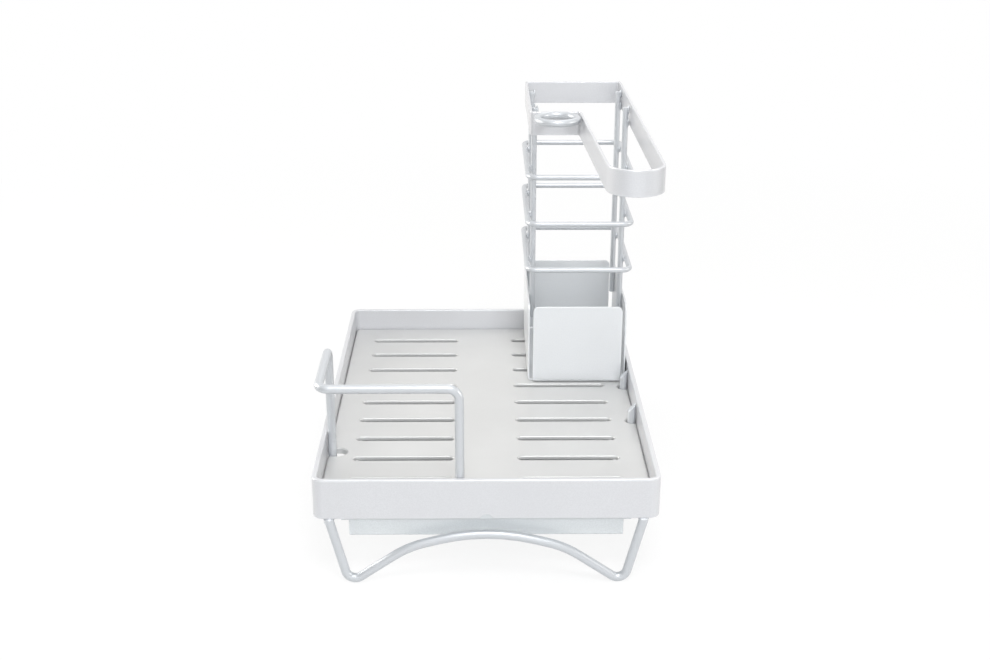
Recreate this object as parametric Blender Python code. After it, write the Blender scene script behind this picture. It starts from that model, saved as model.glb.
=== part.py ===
"""Sink tidy: a slotted tray on two wire legs, a lift-off brush tower and a drip tray.

Metres, +Z up, +X to the right, +Y to the rear. The origin lies on the worktop,
under the middle of the tray. Every piece is painted steel wire, bar or sheet.
"""
import math

import bmesh
import bpy
from mathutils import Matrix, Vector

MM = 0.001

# Gap between pieces that touch, rest on each other or are welded together
TOUCH_GAP = 0.3 * MM

# Tray rim: one flat bar on edge, bent into a frame
TRAY_WIDTH = 210 * MM
TRAY_LENGTH = 298 * MM
TRAY_TOP = 70 * MM
RIM_HEIGHT = 26 * MM
RIM_THICKNESS = 3 * MM
RIM_CORNER_RADIUS = 7 * MM
RIM_NOTCH_RADIUS = 4 * MM
RIM_NOTCH_HEIGHT = 2.7 * MM

# Tray floor: a slotted sheet set into the rim
FLOOR_DEPTH = 16 * MM
FLOOR_THICKNESS = 1.2 * MM
FLOOR_EDGE_GAP = 0.4 * MM
SLOT_WIDTH = 5.4 * MM
SLOT_ROWS = 9
SLOT_MIDDLE_STRIP = 41.8 * MM
SLOT_SIDE_MARGIN = 16.8 * MM
SLOT_FRONT_SETBACK = 32.9 * MM
SLOT_REAR_SETBACK = 29 * MM
RAIL_NOTCH_CLEARANCE = 3 * MM
RAIL_NOTCH_REACH = 6.1 * MM
RAIL_NOTCH_SHIFT = 2.9 * MM
PEG_NOTCH_CLEARANCE = 1 * MM
PEG_NOTCH_SHIFT = 1 * MM

# Legs: one bent wire under each end of the tray
LEG_WIRE = 5.8 * MM
LEG_TOP_INSET = 10.1 * MM
LEG_NECK = 1.6 * MM
FOOT_INSET = 24.7 * MM
FOOT_BEND_RADIUS = 6 * MM
ARCH_FLANK_RUN = 32.8 * MM
ARCH_SHOULDER_DROP = 19.8 * MM
ARCH_SHOULDER_RADIUS = 60 * MM
ARCH_CROWN_DROP = 7.6 * MM
ARCH_CROWN_RADIUS = 115 * MM

# Guard rail and pegs: wires standing in notches along the rim
RAIL_WIRE = 5.5 * MM
RAIL_HEIGHT = 72.6 * MM
RAIL_FRONT_RUN = 83 * MM
RAIL_SIDE_RUN = 62.9 * MM
RAIL_BEND_RADIUS = 7 * MM
WIRE_FOOT_DEPTH = 4 * MM
PEG_WIRE = 5.5 * MM
PEG_HEIGHT = 10.5 * MM
PEG_PITCH = 58 * MM
PEG_TO_BOX = 9.6 * MM

# Drip tray: a folded pan hung by two lips on the ledges of two runners
RUNNER_THICKNESS = 1.2 * MM
RUNNER_END_INSET = 17 * MM
RUNNER_TOP_GAP = 0.5 * MM
RUNNER_LEDGE = 4.9 * MM
RUNNER_STOP_HEIGHT = 1.6 * MM
PAN_THICKNESS = 1 * MM
PAN_END_INSET = 21.2 * MM
PAN_DEPTH = 15.5 * MM
PAN_TOP_GAP = 0.5 * MM
PAN_LIP_GAP = 0.5 * MM
PAN_LIP_BEND_RADIUS = 0.5 * MM
PAN_SIDE_GAP = 0.4 * MM
PAN_BEND_RADIUS = 0.5 * MM

# Holder box: a folded sheet with open corners at the foot of the tower
BOX_WIDTH = 70.4 * MM
BOX_DEPTH = 108 * MM
BOX_HEIGHT = 57.7 * MM
BOX_THICKNESS = 1.2 * MM
BOX_BEND_RADIUS = 1.5 * MM
BOX_CORNER_INSET_SHARE = 0.5
BOX_FLAP_RADIUS = 4 * MM
BOX_SIDE_GAP = 0.8 * MM
BOX_REAR_GAP = 1.4 * MM

# Tower cage: four uprights inside three closed wire loops
CAGE_WIRE = 4 * MM
UPRIGHT_OVERLAP = 17.5 * MM
UPRIGHT_TOP_DROP = 3 * MM
FRONT_UPRIGHT_SETBACK = 28.4 * MM
REAR_UPRIGHT_SETBACK = 23.6 * MM
LOWER_LOOP_RISE = 27 * MM
LOOP_PITCH = 33.5 * MM
LOOP_BEND_RADIUS = 7 * MM

# Top band: a flat bar round the cage that runs forward as a towel arm
BAND_RISE = 30 * MM
BAND_HEIGHT = 16 * MM
BAND_THICKNESS = 1.8 * MM
BAND_BEND_RADIUS = 3 * MM
BAND_ELBOW_RADIUS = 1.5 * MM
ARM_ROOT_WIDTH = 38.3 * MM
ARM_NOSE_WIDTH = 34.2 * MM
ARM_NOSE_FLAT = 0.1 * MM
ARM_REACH = 157.6 * MM
ARM_SPLAY = 3.1 * MM
RING_WIRE = 5 * MM
RING_RADIUS = 13.3 * MM
RING_SIDE_GAP = 0.3 * MM
RING_RISE = 1 * MM

# Fineness of arcs and round wires
ARC_STEP = math.radians(12)
WIRE_RESOLUTION = 5

# Paint
PAINT_METALLIC = 0.35
PAINT_ROUGHNESS = 0.38
PEARL_GREY = (0.70, 0.72, 0.75, 1.0)
WARM_GREY = (0.74, 0.74, 0.73, 1.0)
COOL_GREY = (0.62, 0.67, 0.69, 1.0)

# Derived places
FRONT = -TRAY_LENGTH / 2
REAR = TRAY_LENGTH / 2
SIDE = TRAY_WIDTH / 2
RIM_BOTTOM = TRAY_TOP - RIM_HEIGHT
FLOOR_TOP = TRAY_TOP - FLOOR_DEPTH
FLOOR_BOTTOM = FLOOR_TOP - FLOOR_THICKNESS
INNER_SIDE = SIDE - RIM_THICKNESS
INNER_FRONT = FRONT + RIM_THICKNESS
INNER_CORNER_RADIUS = RIM_CORNER_RADIUS - RIM_THICKNESS
RAIL_X = TOUCH_GAP + RAIL_WIRE / 2 - INNER_SIDE
RAIL_Y = TOUCH_GAP + RAIL_WIRE / 2 + INNER_FRONT
PEG_X = INNER_SIDE - TOUCH_GAP - PEG_WIRE / 2
WIRE_FOOT_BOTTOM = FLOOR_TOP - WIRE_FOOT_DEPTH
BOX_RIGHT = INNER_SIDE - BOX_SIDE_GAP
BOX_X = BOX_RIGHT - BOX_WIDTH / 2
BOX_REAR = REAR - RIM_THICKNESS - BOX_REAR_GAP
BOX_FRONT = BOX_REAR - BOX_DEPTH
BOX_Y = (BOX_FRONT + BOX_REAR) / 2
BOX_BOTTOM = FLOOR_TOP + TOUCH_GAP
BOX_CORNER_INSET = BOX_CORNER_INSET_SHARE * INNER_CORNER_RADIUS
UPPER_LOOP_HEIGHT = BOX_HEIGHT + LOWER_LOOP_RISE + 2 * LOOP_PITCH
BAND_TOP = UPPER_LOOP_HEIGHT + BAND_RISE + BAND_HEIGHT
UPRIGHT_X = BOX_WIDTH / 2 - BOX_THICKNESS - TOUCH_GAP - CAGE_WIRE / 2
LOOP_X = UPRIGHT_X + CAGE_WIRE + TOUCH_GAP
BAND_X = BOX_WIDTH / 2 - BOX_THICKNESS + BAND_THICKNESS


def paint(obj, colour):
    """Give the object a metallic paint of its own."""
    material = bpy.data.materials.new(obj.name)
    material.use_nodes = True
    shader = material.node_tree.nodes["Principled BSDF"]
    shader.inputs["Base Color"].default_value = colour
    shader.inputs["Metallic"].default_value = PAINT_METALLIC
    shader.inputs["Roughness"].default_value = PAINT_ROUGHNESS
    material.diffuse_color = colour
    obj.data.materials.append(material)


def add_object(name, data):
    obj = bpy.data.objects.new(name, data)
    bpy.context.scene.collection.objects.link(obj)
    return obj


def mesh_object(name, build):
    """Make a mesh object from a bmesh, with its faces turned outwards."""
    bmesh.ops.recalc_face_normals(build, faces=build.faces)
    mesh = bpy.data.meshes.new(name)
    build.to_mesh(mesh)
    build.free()
    mesh.shade_smooth()
    mesh.set_sharp_from_angle(angle=math.radians(30))
    return add_object(name, mesh)


def as_cutter(obj):
    """Keep a helper shape out of the finished object."""
    obj.hide_render = True
    obj.display_type = "WIRE"
    return obj


def combine(obj, other, operation):
    """Cut, join or intersect the object with another one."""
    modifier = obj.modifiers.new(other.name, "BOOLEAN")
    modifier.operation = operation
    modifier.solver = "EXACT"
    modifier.object = other


def bend(before, corner, after, radius):
    """Points of the arc that rounds one corner of a path."""
    to_before = (before - corner).normalized()
    to_after = (after - corner).normalized()
    half_angle = to_before.angle(to_after) / 2
    bisector = (to_before + to_after).normalized()
    centre = corner + bisector * (radius / math.sin(half_angle))
    tangent = radius / math.tan(half_angle)
    start = corner + to_before * tangent - centre
    end = corner + to_after * tangent - centre
    sweep = math.pi - 2 * half_angle
    steps = max(2, math.ceil(sweep / ARC_STEP))
    points = []
    for index in range(steps + 1):
        part = sweep * index / steps
        weight_start = math.sin(sweep - part) / math.sin(sweep)
        weight_end = math.sin(part) / math.sin(sweep)
        points.append(centre + start * weight_start + end * weight_end)
    return points


def rounded(corners, radii, closed):
    """Points along a path whose corners are rounded; a radius of 0 stays sharp."""
    corners = [Vector(corner) for corner in corners]
    count = len(corners)
    points = []
    for index, corner in enumerate(corners):
        is_end = not closed and index in (0, count - 1)
        if is_end or radii[index] == 0:
            points.append(corner)
        else:
            before = corners[index - 1]
            after = corners[(index + 1) % count]
            points.extend(bend(before, corner, after, radii[index]))
    return points


def inset(corners, distance):
    """Move the corners of a closed outline, drawn anticlockwise, inwards."""
    corners = [Vector(corner) for corner in corners]
    count = len(corners)
    moved = []
    for index, corner in enumerate(corners):
        into = (corner - corners[index - 1]).normalized()
        out = (corners[(index + 1) % count] - corner).normalized()
        normals = Vector((-into.y, into.x)) + Vector((-out.y, out.x))
        moved.append(corner + normals * (distance / (1 + into.dot(out))))
    return moved


def prism(name, outline, frame, low, high):
    """Extrude a closed outline from low to high along the frame's third axis."""
    build = bmesh.new()
    rows = []
    for level in (low, high):
        row = [build.verts.new(frame @ Vector((p[0], p[1], level))) for p in outline]
        rows.append(row)
    count = len(outline)
    build.faces.new(rows[0])
    build.faces.new(rows[1])
    for index in range(count):
        following = (index + 1) % count
        side = (rows[0][index], rows[0][following], rows[1][following], rows[1][index])
        build.faces.new(side)
    return mesh_object(name, build)


def bar_frame(name, corners, radii, inner_radii, thickness, low, high):
    """A flat bar on edge that follows a closed outline."""
    outer = rounded(corners, radii, True)
    inner = rounded(inset(corners, thickness), inner_radii, True)
    build = bmesh.new()
    loops = []
    for outline, level in ((outer, low), (outer, high), (inner, high), (inner, low)):
        loops.append([build.verts.new((p.x, p.y, level)) for p in outline])
    count = len(outer)
    for ring in range(4):
        near = loops[ring]
        far = loops[(ring + 1) % 4]
        for index in range(count):
            following = (index + 1) % count
            face = (near[index], near[following], far[following], far[index])
            build.faces.new(face)
    return mesh_object(name, build)


def wire(name, points, diameter, closed):
    """A round wire along a path, with flat cut ends."""
    curve = bpy.data.curves.new(name, "CURVE")
    curve.dimensions = "3D"
    curve.bevel_depth = diameter / 2
    curve.bevel_resolution = WIRE_RESOLUTION
    curve.use_fill_caps = not closed
    curve.render_resolution_u = 0
    spline = curve.splines.new("POLY")
    spline.points.add(len(points) - 1)
    for target, point in zip(spline.points, points):
        target.co = (point[0], point[1], point[2], 1)
    spline.use_cyclic_u = closed
    spline.use_smooth = True
    return add_object(name, curve)


def rectangle(centre_x, centre_y, width, length):
    """Corners of a rectangle, anticlockwise."""
    half_x = width / 2
    half_y = length / 2
    return [
        (centre_x - half_x, centre_y - half_y),
        (centre_x + half_x, centre_y - half_y),
        (centre_x + half_x, centre_y + half_y),
        (centre_x - half_x, centre_y + half_y),
    ]


def slot_outline(start, end, width):
    """Outline of a slot with two round ends, between two end points."""
    start = Vector(start)
    end = Vector(end)
    along = (end - start).normalized() * (width / 2)
    across = Vector((-along.y, along.x))
    corners = [start - along - across, end + along - across]
    corners += [end + along + across, start - along + across]
    nearly_half = 0.999 * width / 2
    return rounded(corners, [nearly_half] * 4, True)


def sheet_outline(path, radii, thickness):
    """Cross-section of a bent sheet whose left face follows the path."""
    left = rounded(path, radii, False)
    shifted = shift_path(path, thickness)
    turned = turn_signs(path)
    right_radii = []
    for radius, turn in zip(radii, turned):
        right_radii.append(max(0, radius + turn * thickness) if radius else 0)
    right = rounded(shifted, right_radii, False)
    return left + right[::-1]


def turn_signs(path):
    """+1 where the path turns left, so that its right side has the larger bend."""
    path = [Vector(point) for point in path]
    signs = [0]
    for before, corner, after in zip(path, path[1:], path[2:]):
        into = corner - before
        out = after - corner
        signs.append(math.copysign(1, into.x * out.y - into.y * out.x))
    signs.append(0)
    return signs


def shift_path(path, distance):
    """The same open path moved to its right-hand side."""
    path = [Vector(point) for point in path]
    moved = []
    for index, corner in enumerate(path):
        into = corner - path[index - 1] if index else path[1] - path[0]
        out = path[index + 1] - corner if index < len(path) - 1 else into
        into = into.normalized()
        out = out.normalized()
        normals = Vector((into.y, -into.x)) + Vector((out.y, -out.x))
        moved.append(corner + normals * (distance / (1 + into.dot(out))))
    return moved


def along_x():
    """Frame for outlines drawn in Y and Z and extruded along X."""
    return Matrix(((0, 0, 1), (1, 0, 0), (0, 1, 0)))


def along_y():
    """Frame for outlines drawn in X and Z and extruded along Y."""
    return Matrix(((1, 0, 0), (0, 0, 1), (0, 1, 0)))


def make_tray_rim():
    corners = rectangle(0, 0, TRAY_WIDTH, TRAY_LENGTH)
    outer = [RIM_CORNER_RADIUS] * 4
    inner = [INNER_CORNER_RADIUS] * 4
    rim = bar_frame("tray_rim", corners, outer, inner, RIM_THICKNESS, RIM_BOTTOM, TRAY_TOP)
    combine(rim, rim_notch_cutter(), "DIFFERENCE")
    paint(rim, PEARL_GREY)
    return rim


def rim_notch_cutter():
    """Cylinder that leaves a shallow half-round notch in the front bar's lower edge."""
    build = bmesh.new()
    bmesh.ops.create_cone(
        build,
        cap_ends=True,
        segments=36,
        radius1=RIM_NOTCH_RADIUS,
        radius2=RIM_NOTCH_RADIUS,
        depth=4 * RIM_THICKNESS,
        matrix=Matrix.Rotation(math.pi / 2, 4, "X"),
    )
    cutter = mesh_object("rim_notch_cutter", build)
    height = RIM_BOTTOM + RIM_NOTCH_HEIGHT - RIM_NOTCH_RADIUS
    cutter.location = (0, FRONT + RIM_THICKNESS / 2, height)
    return as_cutter(cutter)


def make_tray_floor():
    gap = RIM_THICKNESS + FLOOR_EDGE_GAP
    corners = rectangle(0, 0, TRAY_WIDTH - 2 * gap, TRAY_LENGTH - 2 * gap)
    outline = rounded(corners, [INNER_CORNER_RADIUS - FLOOR_EDGE_GAP] * 4, True)
    floor = prism("tray_floor", outline, Matrix.Identity(3), FLOOR_BOTTOM, FLOOR_TOP)
    cutters = slot_cutters() + notch_cutters()
    for cutter in cutters:
        combine(floor, as_cutter(cutter), "DIFFERENCE")
    paint(floor, WARM_GREY)
    return floor


def floor_cutter(name, outlines):
    """One helper shape that holds several prisms through the floor sheet."""
    build = bmesh.new()
    low = FLOOR_BOTTOM - FLOOR_THICKNESS
    high = FLOOR_TOP + FLOOR_THICKNESS
    for outline in outlines:
        bottom = [build.verts.new((p.x, p.y, low)) for p in outline]
        top = [build.verts.new((p.x, p.y, high)) for p in outline]
        build.faces.new(bottom)
        build.faces.new(top)
        for index in range(len(outline)):
            following = (index + 1) % len(outline)
            build.faces.new((bottom[index], bottom[following], top[following], top[index]))
    return mesh_object(name, build)


def slot_cutters():
    """Two columns of drain slots, left and right of a plain middle strip."""
    near = (SLOT_MIDDLE_STRIP + SLOT_WIDTH) / 2
    far = INNER_SIDE - SLOT_SIDE_MARGIN - SLOT_WIDTH / 2
    pitch = (TRAY_LENGTH - SLOT_FRONT_SETBACK - SLOT_REAR_SETBACK) / (SLOT_ROWS - 1)
    outlines = []
    for row in range(SLOT_ROWS):
        y = FRONT + SLOT_FRONT_SETBACK + row * pitch
        outlines.append(slot_outline((-far, y), (-near, y), SLOT_WIDTH))
        outlines.append(slot_outline((near, y), (far, y), SLOT_WIDTH))
    return [floor_cutter("slot_cutter", outlines)]


def notch_cutters():
    """Round-ended notches in the floor's edge, where the rail and the pegs pass through."""
    rail_width = RAIL_WIRE + 2 * RAIL_NOTCH_CLEARANCE
    rail_end = (RAIL_WIRE - rail_width) / 2 + RAIL_NOTCH_REACH
    peg_width = PEG_WIRE + 2 * PEG_NOTCH_CLEARANCE
    front_leg_x = RAIL_X + RAIL_FRONT_RUN
    rear_leg_y = RAIL_Y + RAIL_SIDE_RUN + RAIL_NOTCH_SHIFT
    outlines = [
        slot_outline((-SIDE, rear_leg_y), (RAIL_X + rail_end, rear_leg_y), rail_width),
        slot_outline((front_leg_x, FRONT), (front_leg_x, RAIL_Y + rail_end), rail_width),
    ]
    for y in peg_places():
        y += PEG_NOTCH_SHIFT
        outlines.append(slot_outline((PEG_X, y), (SIDE + peg_width, y), peg_width))
    return [floor_cutter("notch_cutter", outlines)]


def peg_places():
    """Y of the front and the rear peg, both in front of the holder box."""
    rear = BOX_FRONT - PEG_TO_BOX
    return rear - PEG_PITCH, rear


def touching_line(point, centre, radius, side):
    """Direction of the line from a point that just touches a circle on one side."""
    towards = centre - point
    angle = math.atan2(towards.y, towards.x)
    angle += side * math.asin(radius / towards.length)
    return Vector((math.cos(angle), math.sin(angle)))


def crossing(point, direction, other_point, other_direction):
    """Where two lines in a plane meet."""
    offset = other_point - point
    area = direction.x * other_direction.y - direction.y * other_direction.x
    reach = (offset.x * other_direction.y - offset.y * other_direction.x) / area
    return point + direction * reach


def leg_path():
    """Corners and bend radii of a leg wire, from one top over the crown to the other."""
    foot_x = SIDE - FOOT_INSET
    top = Vector((SIDE - LEG_TOP_INSET, RIM_BOTTOM - TOUCH_GAP))
    neck = Vector((SIDE - LEG_TOP_INSET, RIM_BOTTOM - TOUCH_GAP - LEG_NECK))
    shoulder = Vector((foot_x - ARCH_FLANK_RUN, RIM_BOTTOM - ARCH_SHOULDER_DROP))
    centre = Vector((foot_x, FOOT_BEND_RADIUS + LEG_WIRE / 2))
    outer = touching_line(neck, centre, FOOT_BEND_RADIUS, 1)
    inner = touching_line(shoulder, centre, FOOT_BEND_RADIUS, -1)
    foot = crossing(neck, outer, shoulder, inner)
    crown = Vector((0, RIM_BOTTOM - ARCH_CROWN_DROP))
    right = [top, neck, foot, shoulder]
    left = [Vector((-point.x, point.y)) for point in reversed(right)]
    radii = [0, FOOT_BEND_RADIUS, FOOT_BEND_RADIUS, ARCH_SHOULDER_RADIUS]
    return right + [crown] + left, radii + [ARCH_CROWN_RADIUS] + radii[::-1]


def make_leg(name, y):
    corners, radii = leg_path()
    path = rounded(corners, radii, False)
    leg = wire(name, [(point.x, y, point.y) for point in path], LEG_WIRE, False)
    paint(leg, PEARL_GREY)
    return leg


def make_guard_rail():
    """A wire that stands on two feet and turns round the tray's front left corner."""
    right = RAIL_X + RAIL_FRONT_RUN
    rear = RAIL_Y + RAIL_SIDE_RUN
    high = FLOOR_TOP + RAIL_HEIGHT
    corners = [
        (right, RAIL_Y, WIRE_FOOT_BOTTOM),
        (right, RAIL_Y, high),
        (RAIL_X, RAIL_Y, high),
        (RAIL_X, rear, high),
        (RAIL_X, rear, WIRE_FOOT_BOTTOM),
    ]
    path = rounded(corners, [RAIL_BEND_RADIUS] * 5, False)
    rail = wire("guard_rail", path, RAIL_WIRE, False)
    paint(rail, PEARL_GREY)
    return rail


def make_peg(name, y):
    """A short upright wire, cut at a slant that faces the middle of the tray."""
    height = WIRE_FOOT_DEPTH + PEG_HEIGHT
    build = bmesh.new()
    bmesh.ops.create_cone(
        build,
        cap_ends=True,
        segments=24,
        radius1=PEG_WIRE / 2,
        radius2=PEG_WIRE / 2,
        depth=height,
    )
    for vertex in build.verts:
        if vertex.co.z > 0:
            vertex.co.z += vertex.co.x
    peg = mesh_object(name, build)
    peg.location = (PEG_X, y, WIRE_FOOT_BOTTOM + height / 2)
    paint(peg, PEARL_GREY)
    return peg


def make_runner(name, facing):
    """An angle under the floor whose ledge carries one lip of the drip tray."""
    back = facing * (INNER_FRONT + TOUCH_GAP)
    shelf = RIM_BOTTOM - PAN_TOP_GAP - PAN_THICKNESS - TOUCH_GAP
    low = shelf - RUNNER_THICKNESS
    high = WIRE_FOOT_BOTTOM - RUNNER_TOP_GAP
    tip = back + facing * RUNNER_LEDGE
    web = back + facing * RUNNER_THICKNESS
    outline = [(back, low), (tip, low), (tip, shelf), (web, shelf), (web, high), (back, high)]
    half = SIDE - RUNNER_END_INSET
    runner = prism(name, outline, along_x(), -half, half)
    stop_near = SIDE - PAN_END_INSET + TOUCH_GAP
    stop_far = stop_near + RUNNER_THICKNESS
    top = shelf + RUNNER_STOP_HEIGHT
    middle = (back + web) / 2
    stop = [(middle, (low + shelf) / 2), (tip, (low + shelf) / 2), (tip, top), (middle, top)]
    tab = prism(name + "_stop", stop, along_x(), stop_near, stop_far)
    combine(runner, as_cutter(tab), "UNION")
    paint(runner, COOL_GREY)
    return runner


def make_drip_tray():
    """A pan whose front and rear walls end in lips turned outwards."""
    wall = REAR - RIM_THICKNESS - TOUCH_GAP - RUNNER_LEDGE - PAN_SIDE_GAP
    lip = PAN_SIDE_GAP + RUNNER_LEDGE - RUNNER_THICKNESS - PAN_LIP_GAP
    top = RIM_BOTTOM - PAN_TOP_GAP
    floor = top - PAN_DEPTH + PAN_THICKNESS
    end = SIDE - PAN_END_INSET
    inner = wall - PAN_THICKNESS
    path = [
        (-wall - lip, top),
        (-inner, top),
        (-inner, floor),
        (inner, floor),
        (inner, top),
        (wall + lip, top),
    ]
    lip_bend = PAN_LIP_BEND_RADIUS + PAN_THICKNESS
    bends = [0, lip_bend, PAN_BEND_RADIUS, PAN_BEND_RADIUS, lip_bend, 0]
    section = sheet_outline(path, bends, PAN_THICKNESS)
    pan = prism("drip_tray", section, along_x(), -end, end)
    inner_end = end - PAN_THICKNESS
    path = [
        (-inner_end, top),
        (-inner_end, floor),
        (inner_end, floor),
        (inner_end, top),
    ]
    bends = [0, PAN_BEND_RADIUS, PAN_BEND_RADIUS, 0]
    section = sheet_outline(path, bends, PAN_THICKNESS)
    reach = wall - PAN_THICKNESS / 2
    end_walls = prism("drip_tray_ends", section, along_y(), -reach, reach)
    combine(pan, as_cutter(end_walls), "UNION")
    paint(pan, COOL_GREY)
    return pan


def flap_shape(name, frame, width, reach):
    """Prism that gives a pair of flaps their outline, with two round top corners."""
    corners = [
        (-width / 2, -BOX_HEIGHT),
        (width / 2, -BOX_HEIGHT),
        (width / 2, BOX_HEIGHT),
        (-width / 2, BOX_HEIGHT),
    ]
    outline = rounded(corners, [0, 0, BOX_FLAP_RADIUS, BOX_FLAP_RADIUS], True)
    return as_cutter(prism(name, outline, frame, -reach, reach))


def make_flaps(name, frame, span, width):
    """Floor strip with a flap folded up at each end, centred on the box's foot."""
    inner = span / 2 - BOX_THICKNESS
    path = [
        (-inner, BOX_HEIGHT),
        (-inner, BOX_THICKNESS),
        (inner, BOX_THICKNESS),
        (inner, BOX_HEIGHT),
    ]
    section = sheet_outline(path, [0, BOX_BEND_RADIUS, BOX_BEND_RADIUS, 0], BOX_THICKNESS)
    return prism(name, section, frame, -width / 2, width / 2)


def make_holder_box(foot):
    """A cross-shaped sheet folded into a box whose four corners stay open."""
    plate_width = BOX_WIDTH - 2 * BOX_CORNER_INSET
    side_width = BOX_DEPTH - 2 * BOX_CORNER_INSET
    box = make_flaps("holder_box", along_x(), BOX_DEPTH, plate_width)
    combine(box, flap_shape("plate_shape", along_y(), plate_width, BOX_DEPTH), "INTERSECT")
    sides = make_flaps("side_flaps", along_y(), BOX_WIDTH, side_width)
    combine(sides, flap_shape("side_shape", along_x(), side_width, BOX_WIDTH), "INTERSECT")
    combine(box, as_cutter(sides), "UNION")
    for helper in [box] + [modifier.object for modifier in box.modifiers]:
        helper.parent = foot
    sides.modifiers[0].object.parent = foot
    paint(box, PEARL_GREY)
    return box


def make_upright(name, x, y, foot):
    """A straight wire between the holder box and the top band."""
    low = BOX_HEIGHT - UPRIGHT_OVERLAP
    high = BAND_TOP - UPRIGHT_TOP_DROP
    upright = wire(name, [(x, y, low), (x, y, high)], CAGE_WIRE, False)
    upright.parent = foot
    paint(upright, PEARL_GREY)
    return upright


def make_loop(name, height, foot):
    """A closed wire round the outside of the four uprights."""
    outline = rectangle(0, 0, 2 * LOOP_X, BOX_DEPTH - CAGE_WIRE)
    corners = [(x, y, height) for x, y in outline]
    path = rounded(corners, [LOOP_BEND_RADIUS] * 4, True)
    loop = wire(name, path, CAGE_WIRE, True)
    loop.parent = foot
    paint(loop, PEARL_GREY)
    return loop


def make_top_band(foot):
    """A closed flat bar: a cell round the cage, and an arm with a round nose."""
    front = -BOX_DEPTH / 2
    rear = BOX_DEPTH / 2
    nose = front - ARM_REACH
    corners = [
        (-BAND_X, rear),
        (-BAND_X, front),
        (BAND_X - ARM_ROOT_WIDTH, front),
        (BAND_X + ARM_SPLAY - ARM_NOSE_WIDTH, nose),
        (BAND_X + ARM_SPLAY, nose),
        (BAND_X, rear),
    ]
    bend_radius = BAND_BEND_RADIUS
    nose_radius = ARM_NOSE_WIDTH / 2 - ARM_NOSE_FLAT
    outer = [bend_radius, bend_radius, BAND_ELBOW_RADIUS, nose_radius, nose_radius]
    outer.append(bend_radius)
    inner = [radius - BAND_THICKNESS for radius in outer]
    inner[2] = BAND_ELBOW_RADIUS + BAND_THICKNESS
    low = BAND_TOP - BAND_HEIGHT
    band = bar_frame("top_band", corners, outer, inner, BAND_THICKNESS, low, BAND_TOP)
    band.parent = foot
    paint(band, PEARL_GREY)
    return band


def make_brush_ring(foot):
    """A wire ring for one brush handle, in the corner between the band and its arm."""
    reach = TOUCH_GAP + RING_WIRE / 2 + RING_RADIUS
    arm_slope = (ARM_ROOT_WIDTH - ARM_NOSE_WIDTH + ARM_SPLAY) / ARM_REACH
    centre_x = BAND_X - ARM_ROOT_WIDTH + arm_slope * reach - reach - RING_SIDE_GAP
    centre_y = -BOX_DEPTH / 2 - reach
    height = BAND_TOP + RING_RISE - RING_WIRE / 2
    steps = round(2 * math.pi / ARC_STEP)
    points = []
    for index in range(steps):
        angle = 2 * math.pi * index / steps
        x = centre_x + RING_RADIUS * math.cos(angle)
        points.append((x, centre_y + RING_RADIUS * math.sin(angle), height))
    ring = wire("brush_ring", points, RING_WIRE, True)
    ring.parent = foot
    paint(ring, PEARL_GREY)
    return ring


def make_tower():
    """Everything that lifts off, placed from the middle of the box's underside."""
    foot = add_object("tower_foot", None)
    foot.location = (BOX_X, BOX_Y, BOX_BOTTOM)
    make_holder_box(foot)
    front = FRONT_UPRIGHT_SETBACK - BOX_DEPTH / 2
    rear = BOX_DEPTH / 2 - REAR_UPRIGHT_SETBACK
    make_upright("upright_front_left", -UPRIGHT_X, front, foot)
    make_upright("upright_front_right", UPRIGHT_X, front, foot)
    make_upright("upright_rear_left", -UPRIGHT_X, rear, foot)
    make_upright("upright_rear_right", UPRIGHT_X, rear, foot)
    make_loop("lower_loop", UPPER_LOOP_HEIGHT - 2 * LOOP_PITCH, foot)
    make_loop("middle_loop", UPPER_LOOP_HEIGHT - LOOP_PITCH, foot)
    make_loop("upper_loop", UPPER_LOOP_HEIGHT, foot)
    make_top_band(foot)
    make_brush_ring(foot)
    return foot


def main():
    for obj in list(bpy.data.objects):
        bpy.data.objects.remove(obj, do_unlink=True)
    make_tray_rim()
    make_tray_floor()
    make_leg("front_leg", FRONT + RIM_THICKNESS / 2)
    make_leg("rear_leg", REAR - RIM_THICKNESS / 2)
    make_guard_rail()
    front_peg_y, rear_peg_y = peg_places()
    make_peg("front_peg", front_peg_y)
    make_peg("rear_peg", rear_peg_y)
    make_runner("front_runner", 1)
    make_runner("rear_runner", -1)
    make_drip_tray()
    make_tower()


main()
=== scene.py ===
"""Looks of the sink tidy: silver-painted bars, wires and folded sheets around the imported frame.

Metres, +Z up, +X to the right, +Y to the rear. Places come from the frame's nodes, and
the sizes named below are the ones that a node's box doesn't tell.
"""
import math

import bpy
import numpy as np
from mathutils import Matrix, Vector
from mathutils.geometry import tessellate_polygon


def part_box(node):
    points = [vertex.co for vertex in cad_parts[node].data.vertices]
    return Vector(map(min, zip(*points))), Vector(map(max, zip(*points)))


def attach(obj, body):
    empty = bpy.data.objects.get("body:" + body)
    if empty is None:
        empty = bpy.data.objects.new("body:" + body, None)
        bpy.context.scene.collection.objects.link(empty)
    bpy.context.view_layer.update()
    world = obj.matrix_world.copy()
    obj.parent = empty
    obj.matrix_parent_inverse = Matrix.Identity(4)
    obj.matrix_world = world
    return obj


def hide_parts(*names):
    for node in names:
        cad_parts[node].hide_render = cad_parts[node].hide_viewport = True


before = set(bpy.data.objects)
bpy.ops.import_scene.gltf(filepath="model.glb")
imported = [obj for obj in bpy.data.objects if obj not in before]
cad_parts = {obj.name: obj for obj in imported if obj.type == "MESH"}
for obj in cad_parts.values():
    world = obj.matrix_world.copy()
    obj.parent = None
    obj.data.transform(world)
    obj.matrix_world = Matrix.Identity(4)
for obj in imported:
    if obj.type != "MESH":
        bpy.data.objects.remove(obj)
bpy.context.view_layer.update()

MM = 0.001

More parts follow.
